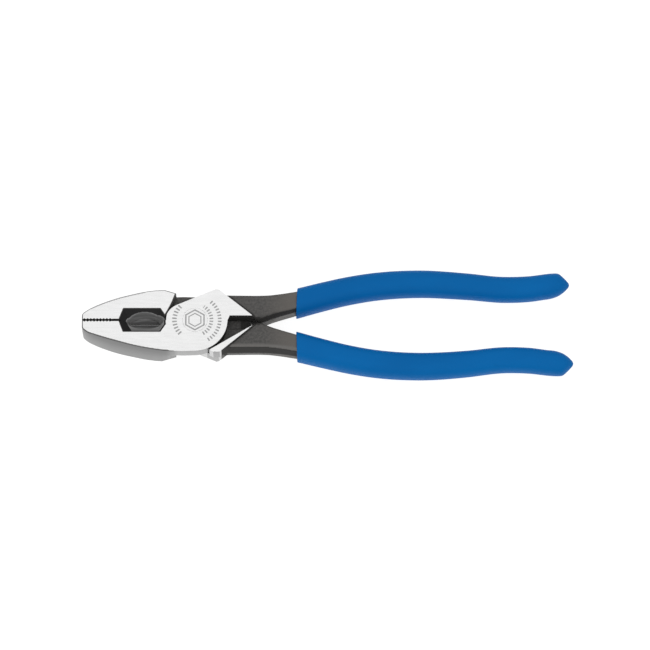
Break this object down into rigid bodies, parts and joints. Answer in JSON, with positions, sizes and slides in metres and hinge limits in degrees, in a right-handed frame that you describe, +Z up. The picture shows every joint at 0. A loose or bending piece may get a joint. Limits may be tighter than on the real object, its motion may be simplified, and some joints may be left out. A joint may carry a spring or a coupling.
{
  "type": "lineman pliers",
  "caption": "High-leverage side-cutting lineman's pliers with gripping teeth, cutting knives, an offset joint and dip-coated handles.",
  "frame": {"origin": "the pivot axis, where it meets the plane of the head's flat underside", "axes": "+X along the pliers from the nose to the handles, +Z up along the pivot axis, +Y across the handles"},
  "size_m": [0.2381, 0.056, 0.0159],
  "materials": {
    "forged_steel": "ground bright on the head, dark oxide on the handles",
    "rivet_steel": "ground flush",
    "dipped_grip": "smooth, satin"
  },
  "bodies": {
    "half_a": {"handle_forging_a": "forged_steel", "pivot_rivet": "rivet_steel", "grip_a": "dipped_grip"},
    "half_b": {"handle_forging_b": "forged_steel", "grip_b": "dipped_grip"}
  },
  "joints": [
    {"name": "pivot", "type": "hinge", "parent": "half_a", "child": "half_b", "pos_m": [0, 0, 0.00795], "axis": [0, 0, -1], "range_deg": [0, 40]}
  ]
}
